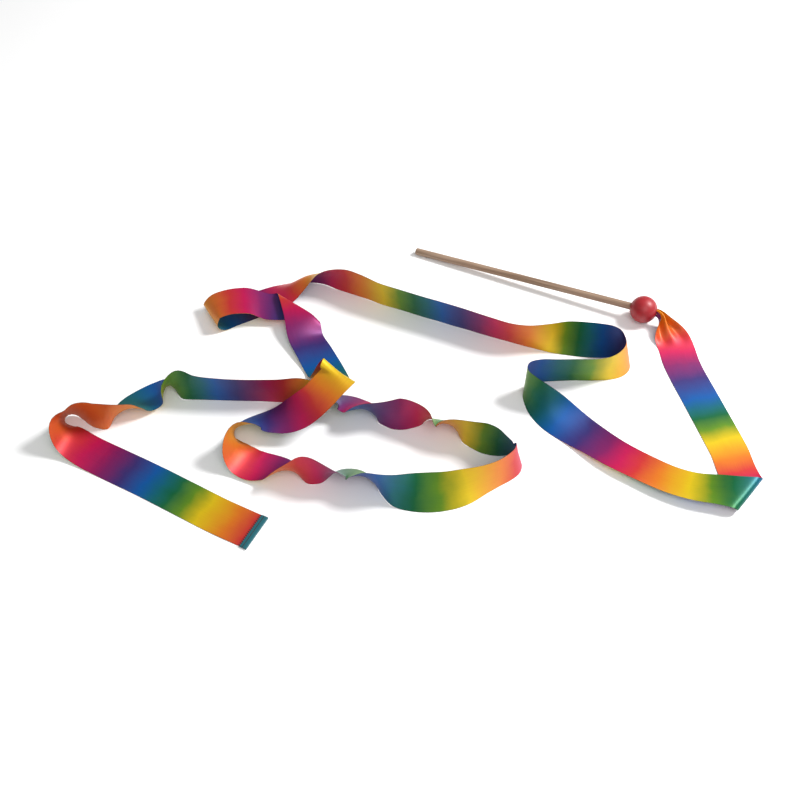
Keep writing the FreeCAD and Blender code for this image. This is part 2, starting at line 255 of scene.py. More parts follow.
# %% The ribbon's route
STRETCHES = [
    ("ribbon_first_run", [
        (297, 84, 1.5, 8, 0, 0),
        (301.5, 50, 0.5, 12, 0, 0)]),
    ("ribbon_first_run_end", [
        (313.5, 0, 0.5, 14, 0, 0),
        (326, -50, 0.5, 14, 0, 0),
        (335, -88, 0.6, 16, 0, 0)]),
    ("ribbon_roll_1", [
        (340, -112, 1.5, 32, 0, 0),
        (343, -122, 6.5, 44, 0, 0),
        (337, -121, 12, 55, 0, 0)]),
    ("ribbon_second_run", [
        (316, -121, 9, 70, -5, 0),
        (292, -118, 6.5, 80, -9, 2),
        (266, -108, 4.5, 72, -9, 3),
        (241, -93, 3.5, 62, -7, 4)]),
    ("ribbon_second_run_end", [
        (216, -76, 3.5, 55, -4, 4),
        (194, -58, 4.5, 48, 2, 4),
        (175, -42, 6.5, 45, 14, 3)]),
    ("ribbon_rise", [
        (158.5, -28, 10.5, 42, 32, 2),
        (145, -16, 15.5, 32, 56, 1),
        (134, -3, 19, 18, 77, 0)]),
    ("ribbon_turn_1", [
        (129, 7, 20, 0, 88, 0),
        (132, 17, 20, 270, 88, 0),
        (143, 22, 20, 270, 86, 0)]),
    ("ribbon_third_run", [
        (160, 23.5, 19.8, 270, 83, 0),
        (180, 24, 19.8, 270, 82, 0),
        (200, 24, 19.8, 270, 82, 0)]),
    ("ribbon_turn_2", [
        (217, 26, 19.6, 220, 80, 0),
        (230, 31.5, 19.5, 195, 76, 0),
        (238.5, 40, 19.4, 188, 75, 0)]),
    ("ribbon_turn_2_back", [
        (241.7, 50, 19.4, 183, 75, 0),
        (238.5, 59, 19.3, 165, 74, 0),
        (229, 65, 19, 135, 70, 0)]),
    ("ribbon_fourth_run", [
        (214.5, 67.5, 18, 110, 64, 0),
        (198, 69.5, 17.8, 100, 63, 0),
        (179, 71, 18.6, 96, 69, 0),
        (160, 70, 19.8, 95, 84, 0)]),
    ("ribbon_fourth_run_mid", [
        (140, 72, 19.8, 265, 82, 0),
        (120, 77.5, 19.4, 262, 76, 0),
        (99, 86, 19.4, 255, 77, 0),
        (59.5, 103, 19.6, 250, 79, 0)]),
    ("ribbon_fourth_run_end", [
        (29, 115.5, 19.6, 247, 79, 0),
        (-2, 129, 19.6, 245, 79, 0),
        (-22, 137.5, 19.6, 245, 80, 0),
        (-41, 148.5, 19.8, 245, 83, 0)]),
    ("ribbon_twist_1", [
        (-60, 158, 19.8, 250, 84, 1),
        (-79, 164, 20, 258, 72, 5),
        (-92, 166.5, 17.5, 262, 56, 8)]),
    ("ribbon_twist_1_end", [
        (-104, 165.5, 14, 274, 40, 10),
        (-117, 161, 9.5, 292, 24, 8),
        (-130, 154, 5.2, 306, 10, 4)]),
    ("ribbon_fifth_run", [
        (-150, 145, 1.5, 302, 3, 0),
        (-172, 134, 0.6, 300, 0, 0),
        (-190, 124, 0.8, 299, 0, 0)]),
    ("ribbon_roll_2", [
        (-203, 115, 3, 298, 0, 0),
        (-208.5, 112, 11, 297, 0, 0),
        (-204, 116.5, 19, 290, 0, 0)]),
    ("ribbon_sixth_run", [
        (-191, 121, 22.5, 278, 1, 0),
        (-172, 126, 21, 270, 1, 0),
        (-151, 130.5, 15.5, 270, -3, 0)]),
    ("ribbon_roll_3", [
        (-136, 131, 10, 285, -6, 0),
        (-125, 124, 9, 310, -4, 0),
        (-119, 116, 13, 318, -8, 0),
        (-117, 109, 15, 338, -14, 0)]),
    ("ribbon_seventh_run", [
        (-110, 100, 9.5, 12, -15, 1),
        (-104, 87, 5.5, 21, -12, 1),
        (-94, 69, 3, 22, -7, 0)]),
    ("ribbon_climb", [
        (-85, 51, 1.4, 20, -2, 0),
        (-77, 34, 3, 8, 0, 0),
        (-71, 19, 16, -12, -2, 0),
        (-66, 7, 34, -32, 0, 0)]),
    ("ribbon_crest", [
        (-61.5, -1, 46, -48, 0, 0),
        (-63, -9, 48.5, -54, 0, 0),
        (-71, -17.5, 44.5, -53, 0, 0)]),
    ("ribbon_eighth_run", [
        (-86.5, -31.5, 36, -50, 1, 0),
        (-105.5, -37.5, 23, -48, 5, 0)]),
    ("ribbon_eighth_run_end", [
        (-126, -37.5, 14, -58, 15, 1),
        (-144, -38, 11, -63, 28, 1),
        (-156, -44, 14, -72, 44, 0)]),
    ("ribbon_turn_3", [
        (-165.5, -54.5, 18, 270, 50, 0),
        (-166, -66, 15, 247, 42, 0),
        (-162, -75.5, 9.5, 228, 25, 0)]),
    ("ribbon_turn_3_back", [
        (-155, -83, 5, 228, 8, 0),
        (-146, -89, 4, 238, 2, 1),
        (-134, -93, 5, 252, 8, 2),
        (-122, -98, 9.5, 266, 24, 2)]),
    ("ribbon_twist_2", [
        (-113, -103.5, 15.5, 273, 46, 0),
        (-105, -106.5, 19, 278, 66, 0),
        (-96, -107.5, 21, 90, 88, 0)]),
    ("ribbon_twist_2_mid", [
        (-84, -110, 23, 95, 88, 0),
        (-74, -112.5, 24, 285, 76, 0),
        (-65, -113, 23.5, 276, 58, 0)]),
    ("ribbon_twist_2_end", [
        (-50, -112, 21, 276, 36, 0),
        (-35, -118, 24, 273, 50, 0),
        (-22, -127, 26, 280, 74, 0)]),
    ("ribbon_ninth_run", [
        (-8, -132.5, 24.5, 86, 83, 0),
        (9, -132.5, 19.5, 86, 62, 0),
        (27.5, -131, 17, 86, 52, 0)]),
    ("ribbon_ninth_run_end", [
        (46.5, -129, 17, 82, 56, 0),
        (64, -125, 18.5, 79, 64, 0),
        (82, -118, 20, 84, 80, 0)]),
    ("ribbon_turn_4", [
        (98, -109.5, 20.5, 130, 86, 0),
        (108, -102.5, 20.8, 158, 83, 0),
        (115, -95, 20.5, 200, 74, 0)]),
    ("ribbon_turn_4_back", [
        (117, -86.5, 20, 235, 66, 0),
        (111, -79.5, 20, 275, 68, 0),
        (101, -75, 20, 323, 76, 0)]),
    ("ribbon_tenth_run", [
        (93.5, -71, 20, 10, 77, 0),
        (84.5, -67.6, 20, 45, 77, 0),
        (74.5, -64, 20.8, 27, 84, 0),
        (62, -59.5, 22.5, 290, 80, 0)]),
    ("ribbon_twist_3", [
        (52.5, -53, 22, 270, 60, 0),
        (44, -46.5, 18.5, 262, 38, 2),
        (35, -43, 19, 262, 44, 2),
        (26, -40, 22.5, 272, 72, 0)]),
    ("ribbon_eleventh_run", [
        (12, -38, 22, 88, 86, 0),
        (-1.5, -37.5, 21.5, 86, 76, 0),
        (-13.5, -38, 23.5, 350, 86, 0)]),
    ("ribbon_twist_4", [
        (-25, -37, 24.5, 278, 74, 0),
        (-36, -31, 21.5, 274, 50, 0),
        (-46, -22, 15, 268, 27, 0)]),
    ("ribbon_twist_4_end", [
        (-57, -14, 13.5, 266, 26, 0),
        (-68, -11, 17, 274, 46, 0),
        (-80, -7.5, 19.5, 290, 72, 0)]),
    ("ribbon_twelfth_run", [
        (-98, -4.5, 20, 300, 86, 0),
        (-125, -5, 20, 280, 84, 0),
        (-150, -4.5, 19.8, 280, 82, 0),
        (-186, -3, 19.8, 280, 83, 0)]),
    ("ribbon_twelfth_run_end", [
        (-211, -0.5, 20, 300, 86, 0),
        (-230, 4, 20, 70, 84, 0)]),
    ("ribbon_twist_5", [
        (-240, 4.5, 18.5, 300, 60, 0),
        (-247, 4, 11.5, 306, 28, 0),
        (-256, 0, 6.5, 308, 13, 0)]),
    ("ribbon_thirteenth_run", [
        (-266, -7, 6, 308, 10, 0),
        (-274, -15, 9, 306, 20, 0)]),
    ("ribbon_twist_6", [
        (-280.5, -25, 14, 302, 42, 0),
        (-286, -33.5, 18, 322, 64, 0)]),
    ("ribbon_fourteenth_run", [
        (-294, -39, 19.6, 0, 75, 0),
        (-307, -38.5, 19.6, 350, 70, 0),
        (-321, -34, 21, 320, 68, 0)]),
    ("ribbon_turn_5", [
        (-332, -32.5, 22, 294, 60, 0),
        (-339.5, -36, 21, 284, 50, 0),
        (-343, -43.5, 18.5, 261, 44, 0)]),
    ("ribbon_turn_5_back", [
        (-340, -51.5, 14.5, 243, 35, 0),
        (-334, -57.5, 9.5, 232, 20, 0),
        (-326, -62.5, 5.5, 232, 10, 0),
        (-312, -70, 2, 238, 3, 0)]),
    ("ribbon_tail", [
        (-290, -81.5, 0.8, 241, 0, 0),
        (-250, -103, 0.6, 241, 0, 0),
        (-210, -126, 0.6, 241, 0, 0)]),
    ("ribbon_tail_end", [
        (-170, -149, 0.6, 240, 0, 0),
        (-153, -158, 0.9, 237, 0, 0),
        (-135.5, -167, 1.1, 233, 0, 0)]),
]

# The neck is gathered out of the ball: x, y, z, bearing, tilt, width of the gathering.
NECK = [
    (280.0, 112.7, 15.5, 64, 0, 4.5),
    (282.5, 111.6, 15.5, 64, 0, 5),
    (286.5, 108.5, 13.6, 48, 0, 8),
    (289.5, 101.5, 9.0, 28, 0, 22),
    (293.0, 93.0, 4.2, 14, 0, 35),
]
WIDTH = 40.0
# The dye repeats nearly evenly: six bands make one rainbow, and this is one band's length.
DYE_BAND = 33.5
FIRST_BAND = 4.5
# How many bands the dye is ahead of (or behind) the even repeat where a stretch starts.
DYE_DRIFT = {
    "ribbon_neck": 0.0,
    "ribbon_first_run_end": -0.2,
    "ribbon_roll_1": 0.6,
    "ribbon_second_run": 0.2,
    "ribbon_second_run_end": 0.0,
    "ribbon_third_run": -0.7,
    "ribbon_fourth_run": -0.9,
    "ribbon_fourth_run_mid": -0.3,
    "ribbon_roll_3": 0.0,
    "ribbon_crest": -0.4,
    "ribbon_turn_3": 0.0,
    "ribbon_ninth_run": 0.0,
    "ribbon_turn_4": -0.8,
    "ribbon_eleventh_run": 0.0,
    "ribbon_twist_4": -0.2,
    "ribbon_twelfth_run": 1.0,
    "ribbon_twelfth_run_end": 1.5,
    "ribbon_thirteenth_run": 1.3,
    "ribbon_fourteenth_run": 0.7,
    "ribbon_turn_5": -0.5,
    "ribbon_turn_5_back": -1.1,
    "ribbon_tail": -1.7,
}
print(len(STRETCHES), "stretches")


# %% [markdown]
# Between two stations the cloth has to run smoothly.  Blender's curves could do it, but
# the line to the left edge, the bow and the width must be smoothed along with the place.
# A cubic that meets each station with the slope of its neighbours does all four alike.

# %% Smooth curves through the stations
def slopes(values, knots):
    gap = np.diff(knots)[:, None]
    step = np.diff(values, axis=0) / gap
    inner = (step[:-1] * gap[1:] + step[1:] * gap[:-1]) / (gap[1:] + gap[:-1])
    return np.vstack([step[:1], inner, step[-1:]])


def smooth(values, knots, at):
    """Values and their slope at distances along a smooth curve."""
    values = np.asarray(values, float)
    slope = slopes(values, knots)
    i = np.clip(np.searchsorted(knots, at, side="right") - 1, 0, len(knots) - 2)
    h = (knots[i + 1] - knots[i])[:, None]
    f = ((at - knots[i])[:, None]) / h
    a, b = values[i], values[i + 1]
    m, n = slope[i] * h, slope[i + 1] * h
    out = (2 * f**3 - 3 * f**2 + 1) * a + (f**3 - 2 * f**2 + f) * m
    out = out + (3 * f**2 - 2 * f**3) * b + (f**3 - f**2) * n
    rate = (6 * f**2 - 6 * f) * (a - b) + (3 * f**2 - 4 * f + 1) * m + (3 * f**2 - 2 * f) * n
    return out, rate / h


def unit(vectors):
    return vectors / np.linalg.norm(vectors, axis=-1, keepdims=True)


main = [s for _, group in STRETCHES for s in group]
stations = [(*s[:5], 0, s[5]) for s in NECK] + [(*s[:6], WIDTH) for s in main]
table = np.array(stations, float)
mids = table[:, :3] - ORIGIN
bearing = np.radians(table[:, 3])
tilt = np.radians(table[:, 4])
sides = np.stack(
    [np.cos(tilt) * np.cos(bearing), np.cos(tilt) * np.sin(bearing), np.sin(tilt)], axis=1
)
knots = np.r_[0, np.cumsum(np.linalg.norm(np.diff(mids, axis=0), axis=1))]
number = len(NECK)
begins = {"ribbon_neck": 0.0}
for name, group in STRETCHES:
    begins[name] = knots[number]
    number += len(group)
fold_at = begins["ribbon_tail"]
print("route is", round(knots[-1]), "mm long")

# %% [markdown]
# The cloth is a grid: one row every 3 mm along the route, and 25 points across each row.
# A row is centred on the route and points at the left edge.  Where the cloth is bowed,
# its chord is shorter, so that the cloth itself keeps its width.

# %% Lay the cloth along the route
ROWS = 25
STEP = 3.0
along = np.linspace(0, knots[-1], int(knots[-1] / STEP) + 1)
middle, ahead = smooth(mids, knots, along)
ahead = unit(ahead)
side, _ = smooth(sides, knots, along)
side = unit(side)
side = unit(side - 0.9 * (side * ahead).sum(1, keepdims=True) * ahead)
face = unit(np.cross(ahead, side))
bow = smooth(table[:, 5:6], knots, along)[0][:, 0]
width = np.clip(smooth(table[:, 6:7], knots, along)[0][:, 0], 4, WIDTH)
drift = np.interp(along, [begins[name] for name in DYE_DRIFT], list(DYE_DRIFT.values()))
dye = FIRST_BAND + along / DYE_BAND + drift
across = np.linspace(-1, 1, ROWS)
bow_shortening = (8 / 3) * (bow / WIDTH) ** 2
half = width / 2 * (1 - bow_shortening)
cloth = middle[:, None] + side[:, None] * (half[:, None] * across)[:, :, None]
cloth = cloth + face[:, None] * (bow[:, None] * (0.5 - across**2))[:, :, None]
print("cloth grid", cloth.shape)

# %% [markdown]
# A flat strip folded over on a slant keeps its width only if it bends round a straight
# line.  Two rolls are made that way: the strip runs up to the fold line, goes half round
# a thin cylinder along it, and comes back over itself.

# %% Fold the slanted rolls
# name, x, y, z of the fold's foot, bearing of the fold line, heading before it, radius
FOLDS = [
    ("ribbon_roll_1", 339.5, -118.0, 0.6, 50, 284, 5.0),
    ("ribbon_roll_3", -119.0, 127.5, 9.0, -38, 0, 3.2),
]
FOLD_REACH = 52.0
FOLD_BLEND = 30.0
FOLD_SEARCH = 45.0


def flat_direction(degrees):
    a = math.radians(degrees)
    return np.array([math.cos(a), math.sin(a), 0.0])


def fold_over(cloth, fold):
    """The cloth with one slanted roll bent round its own fold line."""
    name, x, y, z, line_bearing, heading, radius = fold
    foot = np.array([x, y, z]) - ORIGIN
    line = flat_direction(line_bearing)
    forward = np.cross(line, [0, 0, 1.0])
    before = flat_direction(heading)
    if before @ forward < 0:
        forward = -forward
    left = flat_direction(heading + 90)
    if sides[np.searchsorted(knots, begins[name])] @ left < 0:
        left = -left
    near = np.abs(along - begins[name]) < FOLD_SEARCH
    gaps = np.where(near, np.linalg.norm(middle - foot, axis=1), 1e9)
    start = along[int(gaps.argmin())]
    s = (along - start)[:, None]
    v = (across * WIDTH / 2)[None, :]
    e = s * (before @ line) + v * (left @ line)
    d = s * (before @ forward) + v * (left @ forward)
    turn = np.clip(d / radius, 0, math.pi)
    ahead_of = np.where(d < 0, d, radius * np.sin(turn))
    ahead_of = np.where(d > math.pi * radius, math.pi * radius - d, ahead_of)
    rise = radius * (1 - np.cos(turn))
    folded = foot + e[..., None] * line + ahead_of[..., None] * forward
    folded[..., 2] += rise
    share = np.clip((FOLD_REACH - np.abs(along - start)) / FOLD_BLEND, 0, 1)
    share = (share**2 * (3 - 2 * share))[:, None, None]
    return share * folded + (1 - share) * cloth

# %% [markdown]
# Cloth hardly stretches.  A few rounds of small corrections bring every thread back to
# its own length, take out kinks, and keep the cloth above the floor, while each point
# stays close to where it was laid.

# %% Let the cloth settle
FLOOR_GAP = 0.15
SETTLE_ROUNDS = 50


def pull(points, one, two, length, share):
    """Move two sets of points together or apart until they are the given length apart."""
    gap = points[two] - points[one]
    far = np.linalg.norm(gap, axis=-1, keepdims=True)
    move = gap * (0.5 * share * (1 - length / np.maximum(far, 1e-6)))
    points[one] += move
    points[two] -= move


def settle(points, rest_width, rounds):
    """Correct lengths, widths and kinks a little at a time, holding on to the laid shape."""
    start = points.copy()
    cell = (rest_width / (ROWS - 1))[:, None, None]
    wide = np.broadcast_to(cell * 4, (len(points), ROWS - 4, 1))
    every = slice(None)
    for _ in range(rounds):
        pull(points, (slice(0, -1), every), (slice(1, None), every), STEP, 0.35)
        pull(points, (every, slice(0, -4)), (every, slice(4, None)), wide, 0.3)
        pull(points, (every, slice(0, -1)), (every, slice(1, None)), cell, 0.3)
        bend = 0.5 * (points[:-2] + points[2:]) - points[1:-1]
        points[1:-1] += 0.15 * bend
        flat = 0.5 * (points[:, :-2] + points[:, 2:]) - points[:, 1:-1]
        points[:, 1:-1] += 0.1 * flat
        points += 0.1 * (start - points)
        points[:, :, 2] = np.maximum(points[:, :, 2], FLOOR_GAP)
    return points


for fold in FOLDS:
    cloth = fold_over(cloth, fold)
cloth = settle(cloth, width, SETTLE_ROUNDS)
edge = np.linalg.norm(np.diff(cloth[:, 0], axis=0), axis=1).sum()
widest = np.linalg.norm(cloth[:, 0] - cloth[:, -1], axis=1).max()
print("left edge", round(edge), "mm; widest", round(widest, 1))

# %% [markdown]
# Cloth that nothing holds up sinks until its lower edge meets the floor, and slips back
# a little as it does.  The rolls and the high crest are held up by cloth beneath them,
# and the neck hangs from the ball, so those stretches stay where they are.

# %% Let loose cloth sink
HELD_UP = [
    ("ribbon_neck", "ribbon_second_run_end"),
    ("ribbon_roll_2", "ribbon_seventh_run"),
    ("ribbon_climb", "ribbon_eighth_run_end"),
]
SINK_FADE = 30.0
SINK_LIMIT = 9.0
SINK_CLEAR = 0.3
loose = np.ones(len(along))
for first, last in HELD_UP:
    far = np.maximum(begins[first] - along, along - begins[last])
    loose = np.minimum(loose, np.clip(far / SINK_FADE, 0, 1))
sink = np.clip(cloth[:, :, 2].min(axis=1) - SINK_CLEAR, 0, SINK_LIMIT) * loose
sink = np.convolve(np.pad(sink, 4, mode="edge"), np.ones(9) / 9, "valid")
cloth[:, :, 2] = np.maximum(cloth[:, :, 2] - sink[:, None], FLOOR_GAP)
cloth[:, :, 1] += (sink / math.tan(LOOK_DOWN))[:, None]
print("deepest sink", round(sink.max(), 1), "mm")

# %% [markdown]
# Where the ribbon comes out of the ball it is squeezed to a few millimetres, and the
# width that it loses goes into pleats.  Their depth follows from that loss, so they fade
# out where the cloth is flat again.  A faint ripple along the edges stops the rest from
# looking like stamped sheet.

# %% Gather the neck into pleats
PLEATS = 2
PLEAT_FULLNESS = 0.9
RIPPLE = 0.18


def cloth_normals(cloth):
    """The direction out of the cloth's first face at every point of the grid."""
    return unit(np.cross(np.gradient(cloth, axis=0), np.gradient(cloth, axis=1)))


pleat_depth = np.sqrt(np.maximum(WIDTH**2 - width**2, 0)) / (4 * PLEATS)
pleat_depth = np.convolve(np.pad(pleat_depth, 3, mode="edge"), np.ones(7) / 7, "valid")
wave = np.cos(across * math.pi * PLEATS)
cloth = cloth + cloth_normals(cloth) * (pleat_depth[:, None] * wave)[:, :, None] * PLEAT_FULLNESS
cloth[:, :, 2] = np.maximum(cloth[:, :, 2], FLOOR_GAP)
ripple = np.sin(along / 9.0) * np.sin(along / 23.0 + 1) * RIPPLE
cloth[:, :, 2] += np.maximum(ripple, 0)[:, None] * (across**4)[None, :]
print("deepest pleat", round(pleat_depth.max(), 2), "mm")

# %% [markdown]
# A Solidify modifier would give the grid its thickness, but the two faces are dyed
# differently, so both are built here and joined by a rim.  The ribbon is cut in two just
# before the line where its tail can be lifted.  Both pieces take their shading from the
# whole grid, which hides the cut.

# %% Make the cloth a thin closed sheet
THICK = 0.22
FACE_SHIFT = 2.0
SEAM_BACK = 12
surface = cloth_normals(cloth)


def ribbon_piece(name, first, last):
    """The rows of the grid from first to last as a mesh with two faces and an edge."""
    grid = cloth[first:last]
    normal = surface[first:last]
    upper = grid + normal * THICK / 2
    lower = grid - normal * THICK / 2
    count = len(grid)
    points = np.concatenate([upper.reshape(-1, 3), lower.reshape(-1, 3)]) * MM
    layer = count * ROWS
    i, j = np.meshgrid(np.arange(count - 1), np.arange(ROWS - 1), indexing="ij")
    a = (i * ROWS + j).ravel()
    quads_up = np.stack([a, a + ROWS, a + ROWS + 1, a + 1], axis=1)
    quads_down = np.stack([a, a + 1, a + ROWS + 1, a + ROWS], axis=1) + layer
    rim = []
    for r, flip in ((0, False), (ROWS - 1, True)):
        k = np.arange(count - 1) * ROWS + r
        quad = np.stack([k, k + layer, k + ROWS + layer, k + ROWS], axis=1)
        rim.append(quad[:, ::-1] if flip else quad)
    for r, flip in ((0, True), (count - 1, False)):
        k = r * ROWS + np.arange(ROWS - 1)
        quad = np.stack([k, k + layer, k + 1 + layer, k + 1], axis=1)
        rim.append(quad[:, ::-1] if flip else quad)
    faces = np.concatenate([quads_up, quads_down] + rim)
    mesh = bpy.data.meshes.new(name)
    mesh.from_pydata(points.tolist(), [], faces.tolist())
    shift = np.zeros(len(faces))
    shift[len(quads_up):2 * len(quads_up)] = FACE_SHIFT
    corner = faces.ravel() % layer
    dye_values = dye[first:last][corner // ROWS] + np.repeat(shift, 4)
    layer_dye = mesh.attributes.new("dye", "FLOAT", "CORNER")
    layer_dye.data.foreach_set("value", dye_values.astype(np.float32))
    uv = mesh.uv_layers.new(name="weave")
    u = along[first:last][corner // ROWS]
    v = (across[corner % ROWS] + 1) * WIDTH / 2
    uv.data.foreach_set("uv", (np.stack([u, v], axis=1) * MM).ravel().astype(np.float32))
    mesh.polygons.foreach_set("use_smooth", np.ones(len(faces), bool))
    mesh.update()
    both = np.concatenate([normal.reshape(-1, 3), -normal.reshape(-1, 3)])
    mesh.normals_split_custom_set_from_vertices(both.tolist())
    obj = bpy.data.objects.new(name, mesh)
    scene.collection.objects.link(obj)
    length = (along[last - 1] - along[first]) * MM
    print(name, len(faces), "faces,", round(length, 3), "m long")
    return obj, length


split = int(np.searchsorted(along, fold_at - SEAM_BACK))
ribbon, ribbon_length = ribbon_piece("ribbon_cloth", 0, split + 1)
tail, tail_length = ribbon_piece("tail_cloth", split, len(along))

# %% [markdown]
# The satin is dyed in soft bands that run into each other: magenta, violet, blue, green,
# yellow, orange.  The two faces of the cloth show the bands a third of a rainbow apart.
# A picture could carry the bands, but a colour ramp read by the distance along the cloth
# stays sharp at any size.  The fine warp threads run along the ribbon, so the shine is
# stretched across them, and threads and streaks are drawn in the cloth's own flat map.

# %% Dyed satin
RAINBOW = [
    (0.00, shade(178, 12, 74)),
    (0.09, shade(118, 24, 88)),
    (0.20, shade(52, 40, 104)),
    (0.32, shade(0, 78, 148)),
    (0.41, shade(0, 90, 98)),
    (0.48, shade(0, 88, 48)),
    (0.57, shade(86, 126, 24)),
    (0.67, shade(204, 174, 14)),
    (0.82, shade(204, 108, 26)),
    (0.92, shade(186, 44, 44)),
    (1.00, shade(178, 12, 74)),
]


def satin(name):
    finish = Finish(
        name,
        Metallic=0.3,
        Specular_IOR_Level=0.35,
        Anisotropic=0.5,
    )
    weave = finish.node("ShaderNodeUVMap", uv_map="weave")
    split_uv = finish.tree.nodes.new("ShaderNodeSeparateXYZ")
    plug(finish.tree, weave, split_uv.inputs[0])
    along_cloth = Sock(finish.tree, split_uv.outputs[0])
    across_cloth = Sock(finish.tree, split_uv.outputs[1])
    bleed = finish.node("ShaderNodeTexNoise", {"Vector": weave, "Scale": 55.0, "Detail": 3.0})
    step = (finish.attribute("dye") + (bleed - 0.5) * 0.3) / 6.0
    colour = finish.ramp(step.fract(), RAINBOW)
    streak = finish.node(
        "ShaderNodeTexNoise",
        {
            "Vector": finish.node(
                "ShaderNodeCombineXYZ", {"X": along_cloth * 40.0, "Y": across_cloth * 2600.0}
            ),
            "Scale": 1.0,
            "Detail": 2.0,
        },
    )
    colour = finish.mix(0.16, colour, streak, "OVERLAY")
    rim = ((across_cloth - WIDTH / 2 * MM).absolute()).above(WIDTH / 2 * MM - 0.0005)
    colour = finish.mix(rim * 0.15, colour, shade(20, 12, 20))
    finish.set("Base Color", colour)
    warp = (across_cloth * 9000.0).sine()
    weft = (along_cloth * 6000.0).sine()
    finish.bump(warp * 0.6 + warp * weft * 0.4 + streak, 0.25, 0.00004)
    finish.set("Roughness", (streak * 0.16 + 0.36).clamp())
    return finish.material


satin_cloth = satin("dyed_satin")
for piece in (ribbon, tail):
    piece.data.materials.append(satin_cloth)
print("satin on", ribbon.name, "and", tail.name)

# %% [markdown]
# The dowel is bare wood.  Its grain runs along it, so the pattern is measured along the
# dowel's own axis and stretched that way.  The ball is turned from wood as well and
# lacquered red, thinly enough that a trace of the grain shows.  The knot is the ribbon's
# own cloth, nearly hidden inside the ball, so a plain orange cloth is enough.

# %% Wood and lacquer
swivel = next(j for j in frame["joints"] if j["name"] == "ribbon_swivel")
stick_axis = Vector(swivel["axis"]).normalized()


def along_axis(finish, stretch, tight):
    """Coordinates stretched along the dowel: long along it, tight across it."""
    where = finish.node("ShaderNodeTexCoord", output=3)
    side_one = stick_axis.orthogonal().normalized()
    side_two = stick_axis.cross(side_one)
    parts = []
    for axis in (stick_axis, side_one, side_two):
        dot = finish.tree.nodes.new("ShaderNodeVectorMath")
        dot.operation = "DOT_PRODUCT"
        plug(finish.tree, where, dot.inputs[0])
        dot.inputs[1].default_value = axis
        parts.append(Sock(finish.tree, dot.outputs["Value"]))
    return finish.node(
        "ShaderNodeCombineXYZ",
        {"X": parts[0] * stretch, "Y": parts[1] * tight, "Z": parts[2] * tight},
    )


def dowel_wood():
    finish = Finish("dowel_wood", Specular_IOR_Level=0.35)
    grain_at = along_axis(finish, 30.0, 900.0)
    grain = finish.node("ShaderNodeTexNoise", {"Vector": grain_at, "Scale": 1.0, "Detail": 6.0})
    band_at = along_axis(finish, 9.0, 220.0)
    band = finish.node("ShaderNodeTexNoise", {"Vector": band_at, "Scale": 1.0, "Detail": 2.0})
    colour = finish.ramp(
        band * 0.6 + grain * 0.4,
        [
            (0.30, shade(98, 76, 60)),
            (0.45, shade(132, 108, 88)),
            (0.58, shade(152, 128, 108)),
            (0.75, shade(166, 142, 122)),
        ],
    )
    finish.set("Base Color", colour)
    finish.set("Roughness", (grain * 0.25 + 0.45).clamp())
    finish.bump(grain, 0.35, 0.00015)
    return finish.material


def red_lacquer():
    finish = Finish("red_lacquer", Coat_Weight=0.15, Coat_Roughness=0.3, Specular_IOR_Level=0.4)
    grain_at = along_axis(finish, 60.0, 240.0)
    grain = finish.node("ShaderNodeTexNoise", {"Vector": grain_at, "Scale": 1.0, "Detail": 4.0})
    colour = finish.mix(grain, shade(132, 14, 24), shade(158, 26, 36))
    finish.set("Base Color", colour)
    finish.set("Roughness", (grain * 0.15 + 0.4).clamp())
    finish.bump(grain, 0.12, 0.0003)
    return finish.material


def give(node, material):
    mesh = frame["nodes"][node].data
    mesh.materials.clear()
    mesh.materials.append(material)


give("stick", dowel_wood())
give("ball", red_lacquer())


def plain_cloth(name, colour, rough):
    finish = Finish(name, Sheen_Weight=0.2, Specular_IOR_Level=0.4)
    where = finish.node("ShaderNodeTexCoord", output=3)
    thread = finish.node("ShaderNodeTexNoise", {"Vector": where, "Scale": 1500.0, "Detail": 2.0})
    dark = tuple(c * 0.55 for c in colour[:3]) + (1.0,)
    finish.set("Base Color", finish.mix(thread, dark, colour))
    finish.set("Roughness", (thread * 0.2 + rough).clamp())
    finish.bump(thread, 0.4, 0.0001)
    return finish.material


give("knot", plain_cloth("knotted_satin", shade(170, 90, 30), 0.4))
print("wood, lacquer and knot done")

# %% [markdown]
# The free end is folded over and sewn down with two rows of stitches.  A bent strip
# could show the fold, but it would end in open edges.  The fold is a soft flattened loop,
# so its outline is drawn once and pushed across the ribbon, thinner towards both ends.

# %% Hem
tail_end = np.array(main[-1][:3]) - ORIGIN
before = np.array(main[-2][:3]) - ORIGIN
heading = tail_end - before
heading[2] = 0
heading = unit(heading)
left = np.array([-heading[1], heading[0], 0.0])
up = np.array([0.0, 0.0, 1.0])
HEM_DEEP = 8.0
HEM_TALL = 2.2
HEM_LONG = 40.4
HEM_PAST = 0.7
HEM_SIDES = 24
HEM_SPANS = 40
foot_of_hem = tail_end * [1, 1, 0]


def hem_outline(t):
    """A flattened loop: t runs once round it; the fold is fat and the sewn side is thin."""
    c = math.cos(t)
    s = math.sin(t)
    deep = HEM_DEEP / 2 * (1 + math.copysign(abs(c) ** 0.75, c)) - HEM_DEEP + HEM_PAST
    fat = 0.72 + 0.28 * (0.5 + 0.5 * c)
    tall = HEM_TALL / 2 * fat * math.copysign(abs(s) ** 0.7, s) + HEM_TALL / 2
    return deep, tall


